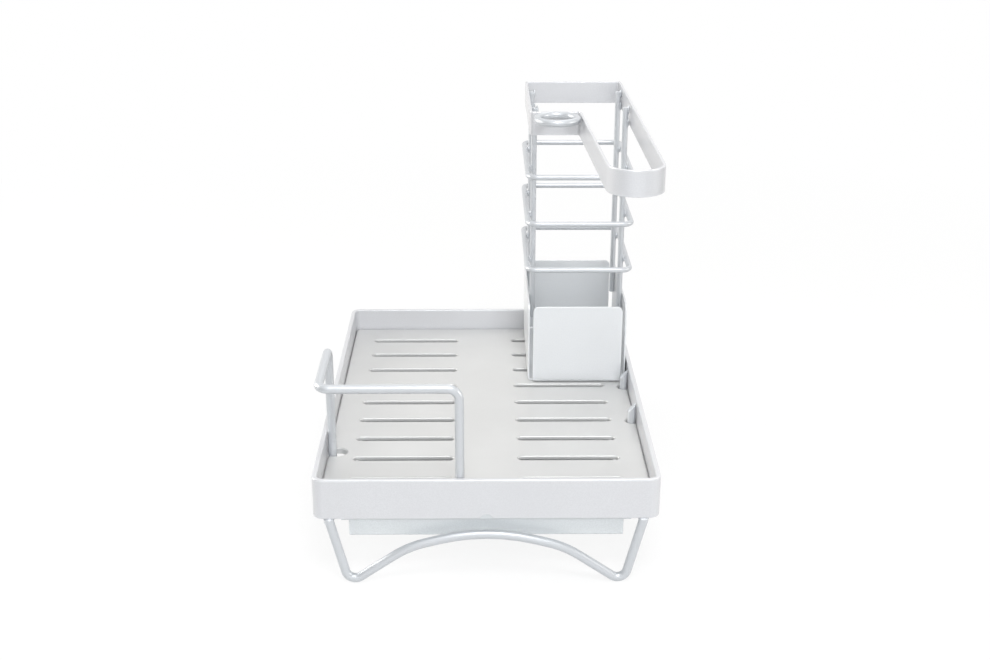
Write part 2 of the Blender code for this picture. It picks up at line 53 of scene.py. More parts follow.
# Flat bars
RIM_THICKNESS = 3 * MM
RIM_CORNER_RADIUS = 7 * MM
RIM_EDGE = 0.55 * MM
RIM_NOTCH_RADIUS = 4 * MM
RIM_NOTCH_HEIGHT = 2.7 * MM
BAND_THICKNESS = 1.8 * MM
BAND_BEND_RADIUS = 3 * MM
BAND_ELBOW_RADIUS = 1.5 * MM
BAND_EDGE = 0.45 * MM
ARM_ROOT_WIDTH = 38.3 * MM
ARM_NOSE_WIDTH = 34.2 * MM
ARM_NOSE_FLAT = 0.1 * MM

# Wires
RAIL_WIRE = 5.5 * MM
RAIL_BEND_RADIUS = 7 * MM
LEG_NECK = 1.6 * MM
FOOT_INSET = 24.7 * MM
FOOT_BEND_RADIUS = 6 * MM
ARCH_FLANK_RUN = 32.8 * MM
ARCH_SHOULDER_DROP = 19.8 * MM
ARCH_SHOULDER_RADIUS = 60 * MM
ARCH_CROWN_DROP = 7.6 * MM
ARCH_CROWN_RADIUS = 115 * MM
LOOP_BEND_RADIUS = 7 * MM
WIRE_EDGE = 0.35 * MM

# Floor sheet
SLOT_WIDTH = 5.4 * MM
SLOT_ROWS = 9
SLOT_MIDDLE_STRIP = 41.8 * MM
SLOT_SIDE_MARGIN = 16.8 * MM
SLOT_FRONT_SETBACK = 32.9 * MM
SLOT_REAR_SETBACK = 29 * MM
FLOOR_CORNER_RADIUS = 3.6 * MM
RAIL_NOTCH_CLEARANCE = 3 * MM
RAIL_NOTCH_REACH = 6.1 * MM
RAIL_NOTCH_SHIFT = 2.9 * MM
PEG_NOTCH_CLEARANCE = 1 * MM
PEG_NOTCH_SHIFT = 1 * MM
NOTCH_MOUTH_RADIUS = 1.2 * MM
FLOOR_EDGE = 0.85 * MM
FLOOR_LIP_DEPTH = 4.1 * MM
SLOT_LIP_DEPTH = 2.8 * MM
FLOOR_LIP_THICKNESS = 0.9 * MM

# Folded sheets
BOX_THICKNESS = 1.2 * MM
BOX_BEND_RADIUS = 1.5 * MM
BOX_CORNER_INSET = 3.5 * MM
BOX_FLAP_RADIUS = 4 * MM
BOX_EDGE = 0.35 * MM
PAN_THICKNESS = 1 * MM
PAN_BEND_RADIUS = 0.5 * MM
PAN_LIP_BEND_RADIUS = 0.5 * MM
PAN_LIP_REACH = 3.6 * MM
PAN_EDGE = 0.3 * MM
RUNNER_THICKNESS = 1.2 * MM
RUNNER_STOP_HEIGHT = 1.6 * MM
RUNNER_STOP_INSET = 3.7 * MM
RUNNER_BEND_RADIUS = 0.8 * MM
RUNNER_EDGE = 0.3 * MM
TONGUE_DROP = 0.04 * MM

# Weld beads: half sizes along X, Y and Z, and shifts, as shares of the wire's radius
LEG_COLLAR = np.array([1.15, 0.92, 0.45])
LEG_COLLAR_DROP = 0.2
LEG_DRIP = np.array([1.1, 0.88, 0.8])
LEG_DRIP_DROP = 0.8
LEG_DRIP_OUT = 0.04
LOOP_BEAD = np.array([0.55, 1.15, 1.15])
BAND_BEAD = np.array([0.5, 0.85, 1.5])
BAND_BEAD_OUT = 0.95
BAND_BEAD_RISE = 1.2
BAND_BEAD_DROP = 0.8

# Lumps: the angle left open at a pole, the swelling, and the shift from bead to bead
BEAD_POLE = 0.12
BEAD_SWELL = 0.09
BEAD_PHASE = 1.7

# A round end's corner radius as a share of half its width, and what a section's point
# keeps of the edge radius on its own side of the middle
ROUND_END = 0.999
THINNEST = 0.02

# Fineness
ARC_STEP = math.radians(5)
WIRE_SIDES = 32
EDGE_STEPS = 4
NOTCH_STEPS = 25
RING_STEPS = 96
BEAD_ROWS = 12
BEAD_COLUMNS = 20

# Paint: cells per metre of each noise, and how strongly it acts
FLAKE_SCALE = 1500
CLOUD_SCALE = 22
PEEL_SCALE = 420
PEEL_STRENGTH = 0.5
GRIT_STRENGTH = 0.3
GRIT_SHARE = 0.25
CLOUD_SHADE = 0.95
# Lighter colour on marked edges: partly paint worn thin, partly a painted highlight
WEAR_AND_HIGHLIGHT_SHADE = 1.14
COAT_IOR = 1.5

# Studio: colours for rays that light the object and for rays that see the background
WORLD_LIGHT = [0.46, 0.455, 0.445]
WORLD_WHITE = [1, 1, 1]
TABLE_LIGHT = [0.5, 0.5, 0.5]
TABLE_WHITE = [0.97, 0.97, 0.97]
TABLE_REACH = 6
TABLE_ROUGHNESS = 0.9
TABLE_SPECULAR = 0.1
SHADOW_SHARE = 0.85
BACKDROP_SPREAD = 0.9
LAMP_TARGET = (0, 0, 0.1)

# Camera: the focal length and the picture's width in pixels, and the angles in degrees
FOCAL_PIXELS = 1400
PICTURE_PIXELS = 990
SENSOR_WIDTH = 36
CAMERA_PITCH = 20.945
CAMERA_YAW = 0.610
CAMERA_ROLL = 0.094
CAMERA_PLACE = (-0.0030, -0.8963, 0.4519)


def unit(vectors):
    """Each vector divided by its length."""
    return vectors / np.linalg.norm(vectors, axis=-1, keepdims=True)


def corner_arc(before, corner, after, radius):
    """Points of the arc that rounds a corner.

    The centre lies on the corner's bisector. Each point is the centre plus the arc's first
    and last spokes, weighted by the sines of the angles still to go and already gone.
    """
    to_before = unit(before - corner)
    to_after = unit(after - corner)
    half_angle = math.acos(np.clip(to_before @ to_after, -1, 1)) / 2
    centre = corner + unit(to_before + to_after) * radius / math.sin(half_angle)
    tangent = radius / math.tan(half_angle)
    first = corner + to_before * tangent - centre
    last = corner + to_after * tangent - centre
    sweep = math.pi - 2 * half_angle
    gone = np.linspace(0, sweep, max(3, math.ceil(sweep / ARC_STEP) + 1))[:, None]
    return centre + (first * np.sin(sweep - gone) + last * np.sin(gone)) / math.sin(sweep)


def rounded(corners, radii, closed):
    """A path through the corners, each rounded by its radius; a radius of 0 stays sharp."""
    corners = np.asarray(corners, float)
    count = len(corners)
    runs = []
    for index, radius in enumerate(radii):
        at_end = not closed and index in (0, count - 1)
        if at_end or radius == 0:
            runs.append(corners[index:index + 1])
        else:
            after = corners[(index + 1) % count]
            runs.append(corner_arc(corners[index - 1], corners[index], after, radius))
    return np.vstack(runs)


def inset(corners, distance):
    """Corners of a closed anticlockwise outline, moved inwards along their mitres."""
    corners = np.asarray(corners, float)
    into = unit(corners - np.roll(corners, 1, axis=0))
    out = unit(np.roll(corners, -1, axis=0) - corners)
    both = into + out
    normals = np.stack([-both[:, 1], both[:, 0]], axis=1)
    return corners + normals * distance / (1 + np.sum(into * out, axis=1, keepdims=True))


def directions(path, closed):
    """Direction at each point: the mean of the unit steps before and after it."""
    steps = unit(np.roll(path, -1, axis=0) - path)
    if closed:
        return unit(steps + np.roll(steps, 1, axis=0))
    steps = steps[:-1]
    return unit(np.vstack([steps[:1], steps[:-1] + steps[1:], steps[-1:]]))


def lengths_along(path):
    """Distance of each point from the path's first point."""
    steps = np.linalg.norm(np.diff(path, axis=0), axis=1)
    return np.concatenate([[0], np.cumsum(steps)])


def with_points_at(path, lengths):
    """The path with more points, at the given distances from its start."""
    have = lengths_along(path)
    wanted = np.union1d(np.round(have, 8), np.round(lengths, 8))
    wanted = wanted[(wanted >= 0) & (wanted <= have[-1])]
    return np.stack([np.interp(wanted, have, path[:, axis]) for axis in range(path.shape[1])], axis=1)


def drawn_in(distance, radius):
    """How far a rounded end draws in: the radius less the quarter circle's height there."""
    left = np.clip(radius - distance, 0, radius)
    return radius - np.sqrt(radius ** 2 - left ** 2)


def end_steps(path, radii):
    """The path with points near both ends, spaced for rounding by the given radii."""
    turns = np.linspace(0, math.pi / 2, 2 * EDGE_STEPS + 1)
    near = np.concatenate([radius * (1 - np.cos(turns)) for radius in radii])
    total = lengths_along(path)[-1]
    return with_points_at(path, np.concatenate([near, total - near]))


def to_nearer_end(path):
    """Distance of each point of an open path from the nearer of its two ends."""
    along = lengths_along(path)
    return np.minimum(along, along[-1] - along)


def bar_section(half_width, half_height, edge):
    """Rounded rectangles, one for each given half width and half height.

    Every corner is a quarter circle of the edge radius, with one more point on each side
    of it, two edge radii along the flat, which keeps the flat's shading flat. No point
    passes the middle: it keeps a small share of the edge radius on its own side.
    Returns the points, and how much each point belongs to an edge, from 0 to 1.
    """
    half_width, half_height = np.broadcast_arrays(half_width, half_height)
    quarter = np.arange(4)[:, None]
    turn = (quarter + np.linspace(0, 1, EDGE_STEPS + 1)) * math.pi / 2
    turn = np.hstack([turn[:, :1], turn, turn[:, -1:]])
    hold = np.zeros_like(turn)
    hold[:, 0] = -2
    hold[:, -1] = 2
    side_x = np.where((quarter == 0) | (quarter == 3), 1, -1)
    side_y = np.where(quarter < 2, 1, -1)
    arc_x = (np.cos(turn) - hold * np.sin(turn)).ravel()
    arc_y = (np.sin(turn) + hold * np.cos(turn)).ravel()
    side_x = np.broadcast_to(side_x, turn.shape).ravel()
    side_y = np.broadcast_to(side_y, turn.shape).ravel()
    room_x = half_width[:, None] - edge
    room_y = half_height[:, None] - edge
    x = side_x * room_x + np.clip(arc_x * edge, -room_x - edge, room_x + edge)
    y = side_y * room_y + np.clip(arc_y * edge, -room_y - edge, room_y + edge)
    least = THINNEST * edge
    x = np.where(side_x > 0, np.maximum(x, least), np.minimum(x, -least))
    y = np.where(side_y > 0, np.maximum(y, least), np.minimum(y, -least))
    return np.stack([x, y], axis=-1), np.where(hold == 0, 1.0, 0.0).ravel()


def carried(path, across, over, section):
    """A section carried along a path.

    Each point is the path's point, plus across times the section's first value, plus over
    times its second.
    """
    return path[:, None] + across[:, None] * section[..., :1] + over[:, None] * section[..., 1:]


def grid_faces(rows, columns, rows_closed):
    """Quads between neighbouring rows of a grid whose columns run in a ring."""
    index = np.arange(rows * columns).reshape(rows, columns)
    if rows_closed:
        index = np.vstack([index, index[:1]])
    index = np.hstack([index, index[:, :1]])
    quads = np.stack([index[:-1, :-1], index[:-1, 1:], index[1:, 1:], index[1:, :-1]], axis=-1)
    return quads.reshape(-1, 4).tolist()


def volume(points, faces):
    """Signed volume of a mesh, from the tetrahedra between the origin and its faces' fans."""
    total = 0.0
    for size in {len(face) for face in faces}:
        corners = points[np.array([face for face in faces if len(face) == size])]
        for step in range(1, size - 1):
            crossed = np.cross(corners[:, step], corners[:, step + 1])
            total += np.sum(corners[:, 0] * crossed) / 6
    return total


def mesh_piece(name, points, faces, flat_faces, edge):
    """A mesh object at the origin with its faces outwards and an attribute named edge."""
    mesh = bpy.data.meshes.new(name)
    every = faces + flat_faces
    centred = points - points.mean(axis=0)
    if volume(centred, every) < 0:
        every = [face[::-1] for face in every]
    mesh.from_pydata(points.tolist(), [], every)
    smooth = np.ones(len(every), bool)
    smooth[len(faces):] = False
    mesh.polygons.foreach_set("use_smooth", smooth)
    attribute = mesh.attributes.new("edge", "FLOAT", "POINT")
    attribute.data.foreach_set("value", np.asarray(edge, np.float32).ravel())
    mesh.update()
    piece = bpy.data.objects.new(name, mesh)
    bpy.context.scene.collection.objects.link(piece)
    return piece


def swept_piece(name, rows, rows_closed, edge):
    """A piece from rows of points, with flat caps on the ends of an open one."""
    count, columns = rows.shape[:2]
    caps = []
    if not rows_closed:
        last = (count - 1) * columns
        caps = [list(range(columns))[::-1], list(range(last, last + columns))]
    edge = np.broadcast_to(edge, (count, columns))
    return mesh_piece(name, rows.reshape(-1, 3), grid_faces(count, columns, rows_closed), caps, edge)


def wire_frame(path, closed):
    """Two directions square to a path whose runs lie along X, Y, Z or in their planes.

    The first is the path's direction crossed with the space diagonal, which no such run
    follows, and the second is square to both.
    """
    forward = directions(path, closed)
    across = unit(np.cross(forward, np.ones(3)))
    return across, np.cross(forward, across)


def round_section(radii):
    """Circles, one for each radius, as points of a cosine and a sine."""
    turn = np.linspace(0, 2 * math.pi, WIRE_SIDES, endpoint=False)
    return np.asarray(radii)[:, None, None] * np.stack([np.cos(turn), np.sin(turn)], axis=-1)


def wire(name, path, radius, closed):
    """A round wire: a circle carried along the path, its cut ends drawn in by a small edge."""
    if closed:
        radii = np.full(len(path), radius)
        edge = np.zeros((len(path), 1))
    else:
        path = end_steps(path, [WIRE_EDGE])
        reach = to_nearer_end(path)
        radii = radius - drawn_in(reach, WIRE_EDGE)
        edge = (reach < WIRE_EDGE).astype(float)[:, None]
    across, over = wire_frame(path, closed)
    return swept_piece(name, carried(path, across, over, round_section(radii)), closed, edge)


def flat_bar(name, corners, radii, thickness, low, high, edge, shape=None):
    """A flat bar on edge, bent round a closed outline given by its outer corners.

    The outline's middle line is rounded, and a rounded rectangle is carried along it, its
    first value inwards and its second upwards. shape holds two functions, the first for the
    line and the second for the rows, which are called before meshing.
    """
    line = rounded(inset(corners, thickness / 2), radii, True)
    if shape:
        line = shape[0](line)
    forward = directions(line, True)
    inwards = np.stack([-forward[:, 1], forward[:, 0], np.zeros(len(line))], axis=1)
    path = np.column_stack([line, np.full(len(line), (low + high) / 2)])
    upwards = np.broadcast_to([0.0, 0.0, 1.0], path.shape)
    half = np.full(len(path), thickness / 2)
    section, weight = bar_section(half, np.full(len(path), (high - low) / 2), edge)
    rows = carried(path, inwards, upwards, section)
    if shape:
        rows = shape[1](rows)
    return swept_piece(name, rows, True, weight)


def rectangle(low_x, high_x, low_y, high_y):
    """Corners of a rectangle, anticlockwise from the front left."""
    return [(low_x, low_y), (high_x, low_y), (high_x, high_y), (low_x, high_y)]


def folded_strip(name, path, side, half_width, thickness, edge, middle=(0, 0, 0)):
    """A bent sheet: a thin rounded rectangle carried along a path in a plane square to side.

    half_width holds the sheet's half width at each point of the path. Near both ends the
    thickness draws in by the edge radius, so that the ends are rounded as the sides are.
    """
    path = np.asarray(path) + np.asarray(middle)
    side = np.broadcast_to(np.asarray(side, float), path.shape)
    over = np.cross(directions(path, False), side)
    pull = drawn_in(to_nearer_end(path), edge)
    half_height = thickness / 2 - pull * (1 - THINNEST)
    section, weight = bar_section(half_width - pull, half_height, edge)
    return swept_piece(name, carried(path, side, over, section), False, weight)


def add(piece, material, body, *nodes):
    """Finish a piece: its material and slot, the body it rides on and the nodes it stands for."""
    piece.data.materials.append(material)
    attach(piece, body)
    if nodes:
        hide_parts(*nodes)
    return piece


def limits(node):
    """Lowest and highest corner of a node of the frame, as arrays."""
    low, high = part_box(node)
    return np.array(low), np.array(high)


# Silver paint

def silver_paint(slot, colour, roughness, flake, metallic, skin_depth, coat=0.4, coat_roughness=0.2):
    """Silver powder paint: flakes and slow clouds in colour and gloss, over an orange-peel skin.

    The flakes vary the colour by the share flake, the clouds darken it by up to half of the
    way to the cloud shade and vary the roughness by half of flake either way, and the edge
    attribute brightens it in patches: partly paint worn thin on the edges, partly a painted
    highlight along them. The skin's bumps are skin_depth deep.
    """
    material = bpy.data.materials.new("silver_" + slot)
    material["slot"] = slot
    material.use_nodes = True
    tree = material.node_tree
    shader = tree.nodes["Principled BSDF"]
    shader.inputs["Metallic"].default_value = metallic
    shader.inputs["Coat Weight"].default_value = coat
    shader.inputs["Coat Roughness"].default_value = coat_roughness
    shader.inputs["Coat IOR"].default_value = COAT_IOR
    place = tree.nodes.new("ShaderNodeTexCoord").outputs["Object"]
    flakes = noise(tree, place, FLAKE_SCALE, 2)
    clouds = noise(tree, place, CLOUD_SCALE, 3)
    peel = noise(tree, place, PEEL_SCALE, 2)
    dark = [value * (1 - flake) for value in colour]
    light = [min(1, value * (1 + flake)) for value in colour]
    grain = mixed(tree, spread(tree, flakes, 0.35, 0.65, 0, 1), dark, light)
    clouded = [value * CLOUD_SHADE for value in colour]
    shade = mixed(tree, spread(tree, clouds, 0.3, 0.7, 0, 0.5), grain, clouded)
    # Marked edges turn lighter in patches: partly worn thin paint, partly a painted highlight along
    # the rounded edges
    rim = tree.nodes.new("ShaderNodeAttribute")
    rim.attribute_name = "edge"
    patches = spread(tree, clouds, 0.35, 0.65, 0.15, 0.55)
    wear_and_highlight = math_node(tree, "MULTIPLY", rim.outputs["Fac"], patches)
    worn_and_highlit = [min(1, value * WEAR_AND_HIGHLIGHT_SHADE) for value in colour]
    tree.links.new(mixed(tree, wear_and_highlight, shade, worn_and_highlit), shader.inputs["Base Color"])
    gloss = spread(tree, clouds, 0.3, 0.7, roughness - flake / 2, roughness + flake / 2)
    tree.links.new(gloss, shader.inputs["Roughness"])
    skin = bump(tree, peel, PEEL_STRENGTH, skin_depth)
    grit = bump(tree, flakes, GRIT_STRENGTH, skin_depth * GRIT_SHARE)
    tree.links.new(skin.outputs["Normal"], grit.inputs["Normal"])
    tree.links.new(grit.outputs["Normal"], shader.inputs["Normal"])
    return material


def noise(tree, place, scale, detail):
    """Smooth random values between 0 and 1, with scale cells to the metre."""
    node = tree.nodes.new("ShaderNodeTexNoise")
    node.inputs["Scale"].default_value = scale
    node.inputs["Detail"].default_value = detail
    tree.links.new(place, node.inputs["Vector"])
    return node.outputs["Fac"]


def spread(tree, value, from_low, from_high, to_low, to_high):
    """A value taken straight from one range to another and held inside the second."""
    node = tree.nodes.new("ShaderNodeMapRange")
    names = ("From Min", "From Max", "To Min", "To Max")
    for name, number in zip(names, (from_low, from_high, to_low, to_high)):
        node.inputs[name].default_value = number
    tree.links.new(value, node.inputs["Value"])
    return node.outputs["Result"]


def math_node(tree, operation, first, second):
    """One sum, product or other operation on the outputs of two nodes."""
    node = tree.nodes.new("ShaderNodeMath")
    node.operation = operation
    tree.links.new(first, node.inputs[0])
    tree.links.new(second, node.inputs[1])
    return node.outputs[0]


def mixed(tree, factor, first, second):
    """Mix two colours, each a list of three numbers or another node's output."""
    node = tree.nodes.new("ShaderNodeMix")
    node.data_type = "RGBA"
    tree.links.new(factor, node.inputs["Factor"])
    for socket, value in ((node.inputs[6], first), (node.inputs[7], second)):
        if isinstance(value, list):
            socket.default_value = (*value, 1)
        else:
            tree.links.new(value, socket)
    return node.outputs[2]


def bump(tree, height, strength, distance):
    """The normal tilted by the slope of a height, which is distance high where it is 1."""
    node = tree.nodes.new("ShaderNodeBump")
    node.inputs["Strength"].default_value = strength
    node.inputs["Distance"].default_value = distance
    tree.links.new(height, node.inputs["Height"])
    return node


BAR_PAINT = silver_paint("bar_paint", [0.675, 0.68, 0.70], 0.34, 0.03, 0.35, 0.02 * MM)
FLOOR_PAINT = silver_paint("floor_paint", [0.615, 0.615, 0.61], 0.34, 0.03, 0.25, 0.03 * MM, 0.3, 0.22)
WIRE_PAINT = silver_paint("wire_paint", [0.61, 0.63, 0.655], 0.38, 0.01, 0.5, 0.001 * MM, 0.2, 0.32)
BOX_PAINT = silver_paint("box_paint", [0.75, 0.765, 0.78], 0.36, 0.03, 0.12, 0.03 * MM)
PAN_PAINT = silver_paint("pan_paint", [0.77, 0.80, 0.815], 0.36, 0.04, 0.15, 0.03 * MM)


# Tray rim

def notch_points(line):
    """More points on the front bar's middle line, where the notch is."""
    across = np.linspace(-RIM_NOTCH_RADIUS, RIM_NOTCH_RADIUS, NOTCH_STEPS)
    added = np.column_stack([across, np.full(len(across), line[:, 1].min())])
    after = np.argmax((line[:, 0] > RIM_NOTCH_RADIUS) & (line[:, 1] < 0))
    return np.vstack([line[:after], added, line[after:]])


def cut_notch(rows):
    """Raise the front bar's lower edge by the height of a circle through the notch."""
    x = rows[..., 0]
    sink = RIM_NOTCH_RADIUS - RIM_NOTCH_HEIGHT
    circle = np.sqrt(np.clip(RIM_NOTCH_RADIUS ** 2 - x ** 2, 0, None)) - sink
    middle = rows[..., 2].mean()
    lower_front = (rows[..., 1] < 0) & (rows[..., 2] < middle)
    rows[..., 2] += np.where(lower_front, np.clip(circle, 0, None), 0)
    return rows


def make_rim():
    """The rim: a flat bar carried round the node's outline, its lower front edge notched."""
    low, high = limits("tray_rim")
    corners = rectangle(low[0], high[0], low[1], high[1])
    radii = [RIM_CORNER_RADIUS - RIM_THICKNESS / 2] * 4
    shape = (notch_points, cut_notch)
    return flat_bar("rim_bar", corners, radii, RIM_THICKNESS, low[2], high[2], RIM_EDGE, shape)


add(make_rim(), BAR_PAINT, "tray", "tray_rim")


# Tray floor

def slot_loop(low_x, high_x, y):
    """A slot's outline, clockwise, so that the sheet lies on its left."""
    half = SLOT_WIDTH / 2
    corners = rectangle(low_x, high_x, y - half, y + half)
    return rounded(corners, [ROUND_END * half] * 4, True)[::-1]


def slot_loops():
    """Two columns of slots, left and right of the plain middle strip."""
    rim_low, rim_high = limits("tray_rim")
    near = SLOT_MIDDLE_STRIP / 2
    far = rim_high[0] - RIM_THICKNESS - SLOT_SIDE_MARGIN
    rows = np.linspace(rim_low[1] + SLOT_FRONT_SETBACK, rim_high[1] - SLOT_REAR_SETBACK, SLOT_ROWS)
    left = [slot_loop(-far, -near, y) for y in rows]
    right = [slot_loop(near, far, y) for y in rows]
    return left + right


def notch(mouth, inwards, width, depth):
    """Four corners of a round-ended notch, drawn anticlockwise along the sheet's outline."""
    mouth = np.asarray(mouth, float)
    inwards = np.asarray(inwards, float)
    along = np.array([inwards[1], -inwards[0]]) * width / 2
    left, right = mouth - along, mouth + along
    return [left, left + inwards * depth, right + inwards * depth, right]


def floor_outline(low, high):
    """The floor's outline with its notches for the rail's two feet and the two pegs.

    It runs anticlockwise from the front left corner. Each notch is as wide as its wire and
    a clearance on both sides, with a half circle at its inner end.
    """
    rail_low, rail_high = limits("guard_rail")
    wire_low, wire_high = limits("front_peg")
    rail_width = RAIL_WIRE + 2 * RAIL_NOTCH_CLEARANCE
    rail_depth_x = rail_low[0] + RAIL_WIRE + RAIL_NOTCH_REACH - low[0]
    rail_depth_y = rail_low[1] + RAIL_WIRE + RAIL_NOTCH_REACH - low[1]
    peg_width = wire_high[0] - wire_low[0] + 2 * PEG_NOTCH_CLEARANCE
    corners = [(low[0], low[1])]
    corners += notch((rail_high[0] - RAIL_WIRE / 2, low[1]), (0, 1), rail_width, rail_depth_y)
    corners += [(high[0], low[1])]
    for node in ("front_peg", "rear_peg"):
        peg_low, peg_high = limits(node)
        y = (peg_low[1] + peg_high[1]) / 2 + PEG_NOTCH_SHIFT
        depth = high[0] - peg_low[0] + PEG_NOTCH_CLEARANCE
        corners += notch((high[0], y), (-1, 0), peg_width, depth)
    corners += [(high[0], high[1]), (low[0], high[1])]
    y = rail_high[1] - RAIL_WIRE / 2 + RAIL_NOTCH_SHIFT
    corners += notch((low[0], y), (1, 0), rail_width, rail_depth_x)
    mouth = [NOTCH_MOUTH_RADIUS]
    rail = mouth + [ROUND_END * rail_width / 2] * 2 + mouth
    peg = mouth + [ROUND_END * peg_width / 2] * 2 + mouth
    turn = [FLOOR_CORNER_RADIUS]
    return rounded(corners, turn + rail + turn + peg + peg + turn + turn + rail, True)


def sheet_edge(loop, low, high, depth):
    """The lip turned down along one outline: over a round edge, down, round its tip and up.

    Each row is the outline moved into the sheet, on its left. Over the edge it moves by the
    edge radius times one less the sine of the turn and sinks by the radius times one less
    the cosine. The tip is a half circle as wide as the lip, and the last row is the sheet's
    underside.
    """
    forward = directions(loop, True)
    into = np.stack([-forward[:, 1], forward[:, 0]], axis=1)
    turn = np.linspace(0, math.pi / 2, EDGE_STEPS + 1)
    half_turn = np.linspace(0, math.pi, 2 * EDGE_STEPS + 1)
    half = FLOOR_LIP_THICKNESS / 2
    tip = high - depth + half
    over, under = FLOOR_EDGE * (1 - np.sin(turn)), half * (1 - np.cos(half_turn))
    moved = np.concatenate([over, under, [2 * half]])
    sunk, round_tip = high - FLOOR_EDGE * (1 - np.cos(turn)), tip - half * np.sin(half_turn)
    height = np.concatenate([sunk, round_tip, [low]])
    flat = loop[None] + into[None] * moved[:, None, None]
    level = np.broadcast_to(height[:, None, None], (*flat.shape[:2], 1))
    return np.concatenate([flat, level], axis=2)


def cut_sheet(name, loops, depths, low, high):
    """A flat sheet with holes, the first of the loops being its outline.

    Along every loop runs a wall, its sheet_edge. The top is filled with triangles between
    the walls' first rows, turned to face up, and the underside between their last rows with
    the same triangles turned over.
    """
    walls = [sheet_edge(loop, low, high, depth) for loop, depth in zip(loops, depths)]
    starts = np.concatenate([[0], np.cumsum([wall.shape[0] * wall.shape[1] for wall in walls])])
    faces = []
    for wall, start in zip(walls, starts):
        faces += (np.array(grid_faces(*wall.shape[:2], False)) + start).tolist()
    tops = [wall[0] for wall in walls]
    fill = np.array(tessellate_polygon([[Vector(point) for point in top] for top in tops]))
    top_index = np.concatenate([start + np.arange(len(top)) for top, start in zip(tops, starts)])
    last_rows = [(wall.shape[0] - 1) * wall.shape[1] for wall in walls]
    low_index = np.concatenate([
        start + row + np.arange(len(top)) for top, start, row in zip(tops, starts, last_rows)
    ])
    flat = np.vstack(tops)[:, :2]
    first, second, third = flat[fill[:, 0]], flat[fill[:, 1]], flat[fill[:, 2]]
    one, two = second - first, third - first
    downwards = one[:, 0] * two[:, 1] - one[:, 1] * two[:, 0] < 0
    fill[downwards] = fill[downwards][:, ::-1]
    flats = top_index[fill].tolist() + low_index[fill[:, ::-1]].tolist()
    points = np.vstack([wall.reshape(-1, 3) for wall in walls])
    rows = np.concatenate([np.arange(len(wall)).repeat(wall.shape[1]) for wall in walls])
    edge = (rows <= EDGE_STEPS).astype(float)
    return mesh_piece(name, points, faces, flats, edge)


def make_floor():
    """The floor: a sheet inside the rim, cut by the slots and the notches, with lips turned down."""
    low, high = limits("tray_floor")
    slots = slot_loops()
    depths = [FLOOR_LIP_DEPTH] + [SLOT_LIP_DEPTH] * len(slots)
    return cut_sheet("slotted_floor", [floor_outline(low, high)] + slots, depths, low[2], high[2])


add(make_floor(), FLOOR_PAINT, "tray", "tray_floor")


# Legs

def touching(point, centre, radius, side):
    """Direction of the line from a point that just touches a circle on one side."""
    towards = centre - point
    angle = math.atan2(towards[1], towards[0]) + side * math.asin(radius / np.linalg.norm(towards))
    return np.array([math.cos(angle), math.sin(angle)])


def crossing(point, direction, other, other_direction):
    """Where two lines in a plane meet."""
    reach = np.linalg.solve(np.stack([direction, -other_direction], axis=1), other - point)[0]
    return point + direction * reach


def leg_line(node):
    """The leg's middle line in X and Z, from one top over the crown to the other.

    Straight lines that just touch the foot's round give its corner, and the corners are
    rounded: neck and foot by the foot's radius, shoulder and crown by their own.
    """
    low, high = limits(node)
    radius = (high[1] - low[1]) / 2
    rim_low, rim_high = limits("tray_rim")
    foot_x = rim_high[0] - FOOT_INSET
    top = np.array([high[0] - radius, high[2]])
    neck = top - [0, LEG_NECK]
    shoulder = np.array([foot_x - ARCH_FLANK_RUN, rim_low[2] - ARCH_SHOULDER_DROP])
    centre = np.array([foot_x, low[2] + FOOT_BEND_RADIUS + radius])
    outer = touching(neck, centre, FOOT_BEND_RADIUS, 1)
    inner = touching(shoulder, centre, FOOT_BEND_RADIUS, -1)
    foot = crossing(neck, outer, shoulder, inner)
    right = np.stack([top, neck, foot, shoulder])
    left = right[::-1] * [-1, 1]
    crown = [[0, rim_low[2] - ARCH_CROWN_DROP]]
    radii = [0, FOOT_BEND_RADIUS, FOOT_BEND_RADIUS, ARCH_SHOULDER_RADIUS]
    return rounded(np.vstack([right, crown, left]), radii + [ARCH_CROWN_RADIUS] + radii[::-1], False)


def make_leg(node):
    """A leg: a round wire along its line, in the plane of the node's middle in Y."""
    low, high = limits(node)
    line = leg_line(node)
    path = np.column_stack([line[:, 0], np.full(len(line), (low[1] + high[1]) / 2), line[:, 1]])
    return wire(node + "_wire", path, (high[1] - low[1]) / 2, False)


for leg in ("front_leg", "rear_leg"):
    add(make_leg(leg), WIRE_PAINT, "tray", leg)


# Guard rail and pegs

def make_rail():
    """The guard rail: a round wire up, along the front, along the left side and down."""
    low, high = limits("guard_rail")
    radius = RAIL_WIRE / 2
    left, front, top = low[0] + radius, low[1] + radius, high[2] - radius
    right, rear = high[0] - radius, high[1] - radius
    corners = [(right, front, low[2]), (right, front, top), (left, front, top), (left, rear, top)]
    corners.append((left, rear, low[2]))
    return wire("guard_rail_wire", rounded(corners, [RAIL_BEND_RADIUS] * 5, False), radius, False)


def make_peg(node):
    """A short wire whose top is cut at 45 degrees towards the middle of the tray.

    In its upper half each point rises by as much as it lies to the right of the middle.
    """
    low, high = limits(node)
    radius = (high[0] - low[0]) / 2
    x, y = (low[:2] + high[:2]) / 2
    path = end_steps(np.array([(x, y, low[2]), (x, y, high[2] - radius)]), [WIRE_EDGE])
    reach = to_nearer_end(path)
    radii = radius - drawn_in(reach, WIRE_EDGE)
    across, over = wire_frame(path, False)
    rows = carried(path, across, over, round_section(radii))
    upper = path[:, 2] > (low[2] + high[2]) / 2
    rows[upper, :, 2] += rows[upper, :, 0] - x
    edge = (reach < WIRE_EDGE).astype(float)[:, None]
    return swept_piece(node + "_wire", rows, False, edge)


add(make_rail(), WIRE_PAINT, "tray", "guard_rail")
for peg in ("front_peg", "rear_peg"):
    add(make_peg(peg), WIRE_PAINT, "tray", peg)


# Runners and drip tray

